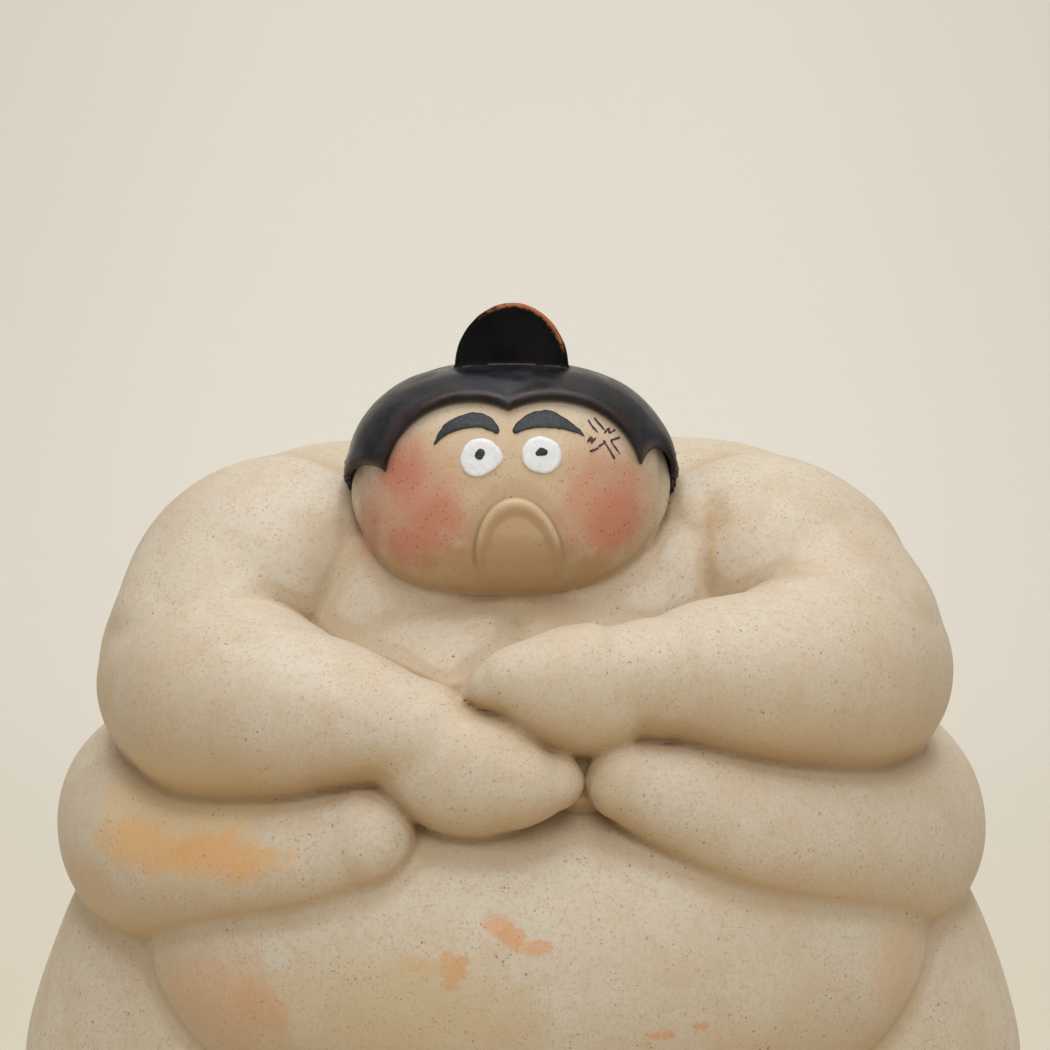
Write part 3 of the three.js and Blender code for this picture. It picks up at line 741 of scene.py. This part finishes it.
# Folds of the cloth: their z on the belt, their x on apron and knot, then their depths and half widths
BELT_FOLDS, BELT_FOLD_DEPTH, BELT_FOLD_HALF_WIDTH = [15.2, 17.4, 19.7], 0.5, 0.34
APRON_FOLDS, APRON_FOLD_DEPTH, APRON_FOLD_HALF_WIDTH = [-5.2, -1.6, 2.1, 5.6], 0.4, 0.42
KNOT_FOLD_X, KNOT_FOLD_DEPTH, KNOT_FOLD_HALF_WIDTH = 2.4, 0.55, 0.4


def vent(grid):
    """The firing vent, a round hole up from the underside."""
    return np.maximum(np.hypot(grid.x, grid.y - VENT_Y) - VENT_RADIUS, grid.z - VENT_TOP_Z)


def belt_fields(grid):
    """Blended field and labels of the belt, the apron and the knot."""
    clay = [trunk(TORSO_LEVELS, TORSO_SQUARE), limb(RIGHT_THIGH), limb(mirrored(RIGHT_THIGH))]
    clay.append(ball(BELLY_CENTRE, BELLY_RADII, BELLY_SQUARE))
    body = np.minimum.reduce([grid.distance(shape) for shape in clay])
    sway = grid.z + 0.35 * grid.waves(11, 14, 2)
    band = grid.distance(trunk(BELT_LEVELS, TORSO_SQUARE)) + 0.12 * grid.waves(12, 4)
    folds = sum(groove(sway - fold, BELT_FOLD_HALF_WIDTH) for fold in BELT_FOLDS)
    band = band + BELT_FOLD_DEPTH * folds
    band = soft_max(np.maximum(band, -body - ROOT), -vent(grid), 0.5)
    lean = grid.x + 0.5 * grid.waves(13, 9) + 0.02 * (grid.z - 13) * grid.x
    apron = grid.distance(trunk(APRON_LEVELS, APRON_SQUARE)) + 0.08 * grid.waves(14, 3)
    folds = sum(groove(lean - fold, APRON_FOLD_HALF_WIDTH) for fold in APRON_FOLDS)
    apron = apron + APRON_FOLD_DEPTH * folds
    knot = grid.distance(ball(KNOT_CENTRE, KNOT_RADII, KNOT_SQUARE)) + 0.12 * grid.waves(15, 3)
    fold = groove(grid.x - KNOT_FOLD_X - 0.15 * (grid.z - 17), KNOT_FOLD_HALF_WIDTH)
    knot = knot + KNOT_FOLD_DEPTH * (fold + groove(grid.x + KNOT_FOLD_X, KNOT_FOLD_HALF_WIDTH))
    knot = np.maximum(knot + 0.4 * groove(grid.z - 17.2 - 0.2 * grid.x, 0.35), -body - ROOT)
    labels = np.argmin([band, apron, knot], axis=0).astype(np.int8) + 1
    return soft_min(soft_min(band, apron, 0.5), knot, 0.6), labels


# Materials
class Look:
    """A node material, built with short calls."""

    def __init__(self, name):
        self.material = bpy.data.materials.new(name)
        self.material.use_nodes = True
        self.tree = self.material.node_tree
        self.shader = self.tree.nodes["Principled BSDF"]
        place = self.node("ShaderNodeTexCoord").outputs["Object"]
        self.place = self.vector("SCALE", place, scale=1000)  # millimetres

    def node(self, kind, **settings):
        made = self.tree.nodes.new(kind)
        for key, value in settings.items():
            setattr(made, key, value)
        return made

    def put(self, socket, value):
        """Link what comes from a node, or set a plain value."""
        if isinstance(value, bpy.types.NodeSocket):
            self.tree.links.new(value, socket)
        else:
            socket.default_value = value

    def vector(self, operation, a, b=None, scale=None):
        made = self.node("ShaderNodeVectorMath", operation=operation)
        self.put(made.inputs[0], a)
        if b is not None:
            self.put(made.inputs[1], b)
        if scale is not None:
            made.inputs["Scale"].default_value = scale
        return made.outputs["Value" if operation in ("LENGTH", "DOT_PRODUCT") else "Vector"]

    def math(self, operation, a, b=0.0, clamp=False):
        made = self.node("ShaderNodeMath", operation=operation, use_clamp=clamp)
        self.put(made.inputs[0], a)
        self.put(made.inputs[1], b)
        return made.outputs[0]

    def span(self, value, low, high, to_low=0.0, to_high=1.0):
        """Smooth step from one range to another."""
        made = self.node("ShaderNodeMapRange", interpolation_type="SMOOTHSTEP")
        for socket, number in zip(made.inputs, (value, low, high, to_low, to_high)):
            self.put(socket, number)
        return made.outputs[0]

    def noise(self, size, detail=2.0, rough=0.5, output="Fac"):
        """Noise whose features are about the given size in millimetres."""
        made = self.node("ShaderNodeTexNoise")
        self.put(made.inputs["Vector"], self.place)
        made.inputs["Scale"].default_value = 1 / size
        made.inputs["Detail"].default_value = detail
        made.inputs["Roughness"].default_value = rough
        return made.outputs[output]

    def wobble(self, size, detail, rough, amount):
        """Noise that swings about zero."""
        return self.math("MULTIPLY", self.math("SUBTRACT", self.noise(size, detail, rough), 0.5), amount)

    def specks(self, cell, radius, share, seed):
        """Round grains scattered through the clay: 1 in a grain, 0 outside."""
        bent = self.vector("SCALE", self.noise(0.3, 1, output="Color"), scale=0.8 * cell)
        bent = self.vector("ADD", self.place, bent)
        shifted = self.vector("ADD", bent, (seed * 17.3, seed * 5.1, seed * 9.7))
        made = self.node("ShaderNodeTexVoronoi")
        self.put(made.inputs["Vector"], shifted)
        made.inputs["Scale"].default_value = 1 / cell
        tint = self.node("ShaderNodeSeparateColor")
        self.put(tint.inputs[0], made.outputs["Color"])
        size = self.span(tint.outputs[0], 1 - share, 1, 0.5 * radius / cell, radius / cell)
        size = self.math("MULTIPLY", size, self.math("GREATER_THAN", tint.outputs[0], 1 - share))
        edge = self.math("SUBTRACT", size, made.outputs["Distance"])
        return self.span(edge, 0.0, 0.04)

    def mix(self, amount, a, b):
        """A colour between two others."""
        made = self.node("ShaderNodeMix", data_type="RGBA")
        self.put(made.inputs[0], amount)
        self.put(made.inputs[6], a)
        self.put(made.inputs[7], b)
        return made.outputs[2]

    def mark(self, name):
        """A value that the mesh holds at its points."""
        return self.node("ShaderNodeAttribute", attribute_name=name).outputs["Fac"]

    def patch(self, centre, radii, wobble, edge=0.5):
        """A patch around a point, for stains, rouge and painted shade: 1 inside, fading to 0 with a ragged
        edge.
        """
        away = self.vector("SUBTRACT", self.place, centre)
        away = self.vector("MULTIPLY", away, tuple(1 / r for r in radii))
        far = self.math("ADD", self.vector("LENGTH", away), wobble)
        return self.span(far, 1.0 + edge, 1.0 - edge)

    def bump(self, height, distance, strength):
        """Relief of the given depth in millimetres."""
        made = self.node("ShaderNodeBump")
        self.put(made.inputs["Height"], height)
        made.inputs["Distance"].default_value = distance * MM
        made.inputs["Strength"].default_value = strength
        self.put(self.shader.inputs["Normal"], made.outputs[0])

    def finish(self, colour, rough, shine=0.5):
        """Set what the shader shows and return the material."""
        self.put(self.shader.inputs["Base Color"], colour)
        self.put(self.shader.inputs["Roughness"], rough)
        self.shader.inputs["Specular IOR Level"].default_value = shine
        return self.material


def srgb(r, g, b):
    """A colour given in bytes, as the shader needs it."""
    linear = [v / 255 / 12.92 if v <= 10 else ((v / 255 + 0.055) / 1.055) ** 2.4 for v in (r, g, b)]
    return (*linear, 1)


# Grains in the clay: cell, largest radius, share of the cells, seed, strength and colour
GRAINS = [
    (0.4, 0.12, 0.8, 1, 0.65, (188, 140, 98)),
    (0.45, 0.12, 0.55, 2, 0.6, (140, 106, 78)),
    (0.75, 0.14, 0.36, 3, 0.9, (84, 64, 48)),
    (1.7, 0.19, 0.4, 7, 0.8, (88, 70, 56)),
]
# Tints on the clay, mostly stains burnt in, with painted shade on the jaw and in the shoulder pits:
# centre, radii, softness, strength and colour
FLASHES_AND_PAINTED_SHADE = [
    ((-1.3, -22, 100), (14, 9, 10), 0.5, 0.75, (210, 182, 145)),
    # Painted shade on the jaw
    ((-0.5, -23, 93.4), (10, 6, 2.7), 0.4, 0.65, (158, 124, 84)),
    # Darker inside the mouth arch
    ((-1.2, -24, 97), (4, 4, 4.5), 0.5, 0.4, (196, 158, 116)),
    ((-32, -20, 76), (17, 16, 9), 0.6, 0.35, (200, 170, 134)),
    ((32, -20, 78), (17, 16, 9), 0.6, 0.3, (202, 174, 140)),
    ((0, -30, 76), (10, 10, 8), 0.6, 0.3, (200, 172, 136)),
    # Darkening in the shoulder pits, partly pooled stain and partly painted shade
    ((21, -8, 97), (2, 6, 3.2), 0.6, 0.55, (196, 152, 92)),
    ((20, -12, 93), (0.7, 6, 4.6), 0.5, 0.5, (196, 160, 108)),
    ((-22.4, -12, 94), (1.4, 6, 4), 0.5, 0.35, (188, 160, 116)),
    ((-34.5, -22, 67.5), (11.5, 17, 6.5), 0.3, 0.75, (222, 194, 150)),
    ((-39, -21, 63.8), (6.5, 14, 2.4), 0.4, 0.7, (228, 178, 120)),
    ((-29.8, -27, 64.2), (6.8, 12, 2.4), 0.35, 0.75, (228, 174, 114)),
    ((-46, -12, 58.7), (2.8, 9, 3), 0.6, 0.5, (210, 164, 122)),
    ((-6.9, -40, 54.2), (1.4, 4, 1.7), 0.25, 0.8, (216, 156, 108)),
    ((-9.6, -40, 54.4), (3.2, 4, 1), 0.5, 0.45, (214, 170, 120)),
    ((-2.5, -39, 58.6), (1.6, 4, 0.9), 0.25, 0.7, (220, 164, 118)),
    ((-0.9, -39, 57.6), (1.3, 4, 1.1), 0.25, 0.75, (216, 158, 112)),
    ((1.2, -40, 56.5), (1.8, 4, 0.8), 0.25, 0.7, (218, 160, 114)),
    ((-31.5, -28, 48.9), (7.5, 12, 5), 0.6, 0.55, (214, 164, 118)),
    ((-27, -31, 48.6), (3, 9, 2.6), 0.6, 0.4, (212, 156, 106)),
    ((-13, -40, 50), (12, 10, 6), 0.6, 0.4, (204, 176, 126)),
    ((39.6, -22, 51.2), (3.4, 9, 4.6), 0.6, 0.55, (216, 174, 132)),
    ((18, -40, 48), (1.2, 4, 0.7), 0.2, 0.75, (214, 158, 108)),
    ((14, -40, 47.3), (1.8, 4, 0.6), 0.2, 0.75, (214, 158, 108)),
]
# Rouge dusted on: centre, radii, strength
BLUSHES = [
    ((-11.2, -20, 99.6), (5.8, 8, 6.2), 0.5),
    ((-8.4, -21, 98), (3.2, 7, 3), 0.3),
    ((-12.3, -19, 103.6), (2.3, 6, 3.6), 0.35),
    ((-12.2, -19, 95.2), (2, 6, 2), 0.25),
    ((-16.2, -15, 96.6), (1.5, 5, 3.4), 0.35),
    ((8.6, -21, 100), (5, 8, 5.6), 0.52),
    ((9.6, -20.5, 98), (3, 6, 3.4), 0.28),
]
HARD_STAIN = 0.3  # stains with a softness below this get ragged edges
PAINT_GRAIN = 0.25


def clay_look():
    """Sandy stoneware with flashing, creases darkened by pooled stain and painted shade, painted shade in
    hollows and on undersides, rouge and grains.
    """
    look = Look("speckled_stoneware")
    grain = look.noise(0.35, 3, 0.6)
    wobble = look.wobble(3.2, 5, 0.65, 1.5)
    ragged = look.wobble(1.1, 5, 0.7, 2.8)
    colour = look.mix(look.span(look.noise(16, 3), 0.35, 0.65), srgb(209, 195, 172), srgb(214, 203, 184))
    colour = look.mix(look.span(look.noise(6, 4, 0.6), 0.42, 0.72, 0, 0.55), colour, srgb(204, 180, 148))
    colour = look.mix(look.span(look.noise(1.3, 3, 0.6), 0.45, 0.75, 0, 0.35), colour, srgb(198, 176, 151))
    colour = look.mix(look.span(look.noise(0.5, 2), 0.5, 0.75, 0, 0.45), colour, srgb(198, 164, 126))
    for centre, radii, edge, strength, tint in FLASHES_AND_PAINTED_SHADE:
        flash_and_shade = look.patch(centre, radii, ragged if edge < HARD_STAIN else wobble, edge)
        colour = look.mix(look.math("MULTIPLY", flash_and_shade, strength), colour, srgb(*tint))
    crease, hollow = look.mark("crease"), look.mark("hollow")
    # Painted shade: broad hollows are darkened warm brown
    colour = look.mix(look.span(hollow, 0.05, 0.6, 0, 0.4), colour, srgb(182, 153, 112))
    # Fine creases darkened brown: partly pooled stain, partly painted shade
    colour = look.mix(look.span(crease, 0.3, 1.4, 0, 0.75), colour, srgb(152, 124, 90))
    # Painted shade: surfaces that face down are darkened brown
    under = look.vector("DOT_PRODUCT", look.node("ShaderNodeNewGeometry").outputs["Normal"], (0, 0, -1))
    colour = look.mix(look.span(under, 0.0, 0.85, 0, 0.7), colour, srgb(188, 155, 112))
    blush = 0.0
    dusting = look.math("MULTIPLY", wobble, 0.45)
    for centre, radii, amount in BLUSHES:
        rouge = look.math("MULTIPLY", look.patch(centre, radii, dusting, 0.4), amount)
        blush = look.math("ADD", rouge, blush, clamp=True)
    dusty = look.math("MULTIPLY", blush, look.span(grain, 0.2, 0.6, 0.75, 1))
    colour = look.mix(dusty, colour, srgb(196, 110, 86))
    red_specks = look.math("MULTIPLY", look.specks(0.5, 0.13, 0.7, 4), blush)
    colour = look.mix(red_specks, colour, srgb(146, 62, 52))
    colour = look.mix(look.span(grain, 0.4, 0.75, 0, 0.22), colour, srgb(190, 168, 138))
    cluster = look.span(look.noise(4, 5, 0.7), 0.36, 0.66, 0.1, 1)
    for cell, radius, share, seed, strength, tint in GRAINS:
        grains = look.math("MULTIPLY", look.specks(cell, radius, share, seed), strength)
        colour = look.mix(look.math("MULTIPLY", grains, cluster), colour, srgb(*tint))
    look.bump(look.math("ADD", grain, look.noise(1.3, 2)), 0.05, 0.5)
    return look.finish(colour, 0.55, 0.35)


DEEP_GLAZE, PALE_GLAZE = (18, 18, 22), (41, 42, 49)


def glaze_look(name, thin, worn, rough, shine, rim=None, deep=DEEP_GLAZE, pale=PALE_GLAZE):
    """Black glaze, brown where thin and rust at worn edges or a worn rim, with pinholes and dust."""
    look = Look(name)
    drift = look.noise(5, 4, 0.6)
    colour = look.mix(look.span(drift, 0.35, 0.7), srgb(*deep), srgb(*pale))
    colour = look.mix(look.span(look.noise(9, 3), 0.5, 0.75, 0, thin), colour, srgb(52, 32, 24))
    ragged = look.wobble(0.6, 4, 0.7, 1.2)
    edge = look.math("ADD", look.mark("crease"), ragged)
    bare = look.span(edge, -0.55, -1.1, 0, worn)
    if rim:
        bare = look.math("MULTIPLY", bare, look.patch(*rim, ragged, 0.3))
    colour = look.mix(bare, colour, srgb(172, 106, 66))
    dust = look.math("MULTIPLY", look.specks(1.2, 0.08, 0.4, 5), 0.6)
    colour = look.mix(dust, colour, srgb(150, 140, 130))
    dullness = look.span(look.noise(2.5, 4, 0.6), 0.3, 0.7, rough, rough + 0.18)
    look.bump(look.math("ADD", look.noise(1.6, 3), look.noise(0.3, 2)), 0.05, 0.35)
    return look.finish(colour, dullness, shine)


def paint_look(name, dark, light, rough):
    """Brushed paint between two tones."""
    look = Look(name)
    streaks = look.math("MULTIPLY", look.noise(1.5, 2), 0.5)
    grain = look.math("ADD", look.noise(PAINT_GRAIN, 3, 0.6), streaks)
    look.bump(grain, 0.04, 0.5)
    return look.finish(look.mix(look.span(grain, 0.55, 0.95), srgb(*dark), srgb(*light)), rough)


CLAY = clay_look()
HAIR_GLAZE = glaze_look("black_glaze", 0.5, 0.05, 0.24, 0.26)
# The worn place on the topknot: centre, radii
TOPKNOT_RIM = (1.2, -13.6, 118.6), (4.6, 3, 3.4)
TOPKNOT_GLAZE = glaze_look("worn_black_glaze", 0.1, 1.0, 0.5, 0.08, TOPKNOT_RIM, (9, 9, 10), (22, 22, 25))
CLOTH_GLAZE = glaze_look("belt_black_glaze", 0.7, 0.5, 0.3, 0.25)
WHITE = paint_look("white_dab", (228, 229, 233), (240, 241, 244), 0.5)
OXIDE = paint_look("black_oxide", (26, 28, 31), (54, 58, 63), 0.6)
INK = paint_look("purple_ink", (56, 24, 40), (92, 52, 66), 0.7)


# Pieces: the pressed clay is slightly uneven, flat below and open at the vent
BROAD_UNEVENNESS, FINE_UNEVENNESS = 0.2, 0.06
SOLE_ROUNDING, VENT_ROUNDING = 0.4, 0.6
body_grid = Grid((-58, -43.5, -1.5), (58, 43, 107.5), BODY_VOXEL)
field, labels, seam = join_forms(body_grid, BODY_FORMS)
field += BROAD_UNEVENNESS * body_grid.waves(3, 13) + FINE_UNEVENNESS * body_grid.waves(4, 5)
for centre, radii, depth in DIMPLES:
    field += depth * body_grid.near(centre, radii)
field += FURROW_DEPTH * furrow(body_grid, *CHEST_FURROW)
field = soft_max(field, -body_grid.z, SOLE_ROUNDING)
field = soft_max(field, -vent(body_grid), VENT_ROUNDING)
names = {i + 1: name for i, name in enumerate(LABELS)}
body_names = {i: name for i, name in names.items() if i < FIRST_HEAD_LABEL}
head_names = {i: name for i, name in names.items() if i >= FIRST_HEAD_LABEL}
add_skin(field, labels, body_grid, body_names, CLAY, "_clay", seam=seam)
head_grid = Grid((-22, -26.5, 87), (19, 6, 116), HEAD_VOXEL)
field, labels, seam = join_forms(head_grid, HEAD_FORMS)
add_skin(field, labels, head_grid, head_names, CLAY, "_clay", 0.6, 2.4, seam=seam)
hair_grid = Grid((-20, -26.5, 97), (18, 9.5, 121.5), HEAD_VOXEL)
field, labels = hair_fields(hair_grid)
add_skin(field, labels, hair_grid, {1: "hair_cap"}, HAIR_GLAZE, "_glaze", 0.6)
add_skin(field, labels, hair_grid, {2: "topknot"}, TOPKNOT_GLAZE, "_glaze", 0.6)
belt_grid = Grid((-49, -29, 3), (49, 42, 24), BELT_VOXEL)
field, labels = belt_fields(belt_grid)
cloth = {1: "mawashi_belt", 2: "mawashi_apron", 3: "mawashi_knot"}
add_skin(field, labels, belt_grid, cloth, CLOTH_GLAZE, "_glaze", 0.8)
paint_grid = Grid((-10.2, -24.8, 102), (11, -17, 110.2), PAINT_VOXEL)
skin_at = skull(paint_grid)
# Low and high are heights over the skin
for name, rows, low, high, rounding, look, slot in (
    ("right_brow", RIGHT_BROW, -0.12, 0.26, 0.3, OXIDE, "black_paint"),
    ("left_brow", LEFT_BROW, -0.12, 0.26, 0.3, OXIDE, "black_paint"),
    ("right_eye_white", RIGHT_WHITE, -0.12, 0.36, 0.4, WHITE, "white_paint"),
    ("left_eye_white", LEFT_WHITE, -0.12, 0.36, 0.4, WHITE, "white_paint"),
    ("anger_mark", ANGER_MARK, -0.1, 0.12, 0.12, INK, "black_paint"),
    ("right_pupil", RIGHT_PUPIL, 0.2, 0.48, 0.2, OXIDE, "black_paint"),
    ("left_pupil", LEFT_PUPIL, 0.2, 0.48, 0.2, OXIDE, "black_paint"),
):
    dab = painted(paint_grid, skin_at, brushed(paint_grid, rows), low, high, rounding)
    ones = np.ones(dab.shape, np.int8)
    nodes = [] if name == "anger_mark" else [name]
    add_skin(dab, ones, paint_grid, {1: name}, look, "_paint", 0.2, 0.4, nodes)


# Stage, in metres
def area_lamp(name, place, aim, size, power):
    """A round white lamp that shines towards its aim."""
    lamp = bpy.data.lights.new(name, "AREA")
    lamp.shape, lamp.size, lamp.energy = "DISK", size, power
    holder = bpy.data.objects.new(name, lamp)
    holder.location = place
    holder.rotation_mode = "QUATERNION"
    holder.rotation_quaternion = (Vector(aim) - Vector(place)).to_track_quat("-Z", "Y")
    bpy.context.scene.collection.objects.link(holder)


FLOOR_FRONT, FLOOR_BACK, BEND, WALL_TOP, STAGE_HALF_WIDTH = -1.0, 0.45, 0.3, 1.5, 1.6
BEND_STEPS = 24
PALE_PAPER, PAINTED_SHADE_PAPER = (236, 231, 221), (217, 209, 191)
WORLD_COLOUR, WORLD_STRENGTH = (1, 0.985, 0.96, 1), 0.36


def paper_look():
    """Warm paper with painted shade that darkens it a little towards the viewer and the sides, over
    distances in millimetres.
    """
    look = Look("warm_paper")
    near = look.span(look.vector("DOT_PRODUCT", look.place, (0, 1, 0)), 100, 650, 1, 0)
    aside = look.vector("LENGTH", look.vector("MULTIPLY", look.place, (1, 0, 0)))
    # Painted shade: the paper darkens towards the viewer and the sides
    shade = look.math("ADD", near, look.span(aside, 40, 220, 0, 0.5), clamp=True)
    return look.finish(look.mix(shade, srgb(*PALE_PAPER), srgb(*PAINTED_SHADE_PAPER)), 0.9)


def add_stage():
    """A sheet of paper that bends up behind the figure."""
    profile = [(FLOOR_FRONT, 0.0), (FLOOR_BACK, 0.0)]
    for i in range(1, BEND_STEPS + 1):
        turn = math.pi / 2 * i / BEND_STEPS
        profile.append((FLOOR_BACK + BEND * math.sin(turn), BEND - BEND * math.cos(turn)))
    profile.append((FLOOR_BACK + BEND, WALL_TOP))
    verts = [(x, y, z) for y, z in profile for x in (-STAGE_HALF_WIDTH, STAGE_HALF_WIDTH)]
    faces = [(i, i + 1, i + 3, i + 2) for i in range(0, len(verts) - 2, 2)]
    mesh = bpy.data.meshes.new("sweep")
    mesh.from_pydata(verts, [], faces)
    mesh.shade_smooth()
    mesh.materials.append(paper_look())
    sweep = bpy.data.objects.new("sweep", mesh)
    bpy.context.scene.collection.objects.link(sweep)


add_stage()
world = bpy.data.worlds.new("studio")
world.use_nodes = True
background = world.node_tree.nodes["Background"]
background.inputs["Color"].default_value = WORLD_COLOUR
background.inputs["Strength"].default_value = WORLD_STRENGTH
bpy.context.scene.world = world
area_lamp("overhead", (0, -0.05, 1.1), (0, 0, 0.06), 1.0, 7.0)
area_lamp("front", (0.1, -0.9, 0.85), (0, 0, 0.07), 0.6, 4.2)

# Camera, level with the chest and tipped slightly down
CAMERA_PITCH = math.radians(5)
CAMERA_AIM = Vector((0.0002, -0.017, 0.0971))
CAMERA_DISTANCE = 0.42
VIEW_WIDTH = 0.11025
camera_data = bpy.data.cameras.new("camera")
camera = bpy.data.objects.new("camera", camera_data)
toward = Vector((0, -math.cos(CAMERA_PITCH), math.sin(CAMERA_PITCH)))
camera.location = CAMERA_AIM + toward * CAMERA_DISTANCE
camera.rotation_mode = "QUATERNION"
camera.rotation_quaternion = (-toward).to_track_quat("-Z", "Y")
camera_data.sensor_width = 36
camera_data.lens = camera_data.sensor_width * CAMERA_DISTANCE / VIEW_WIDTH
camera_data.clip_start = 0.01
bpy.context.scene.collection.objects.link(camera)
bpy.context.scene.camera = camera

scene = bpy.context.scene
scene.view_settings.view_transform = "Standard"
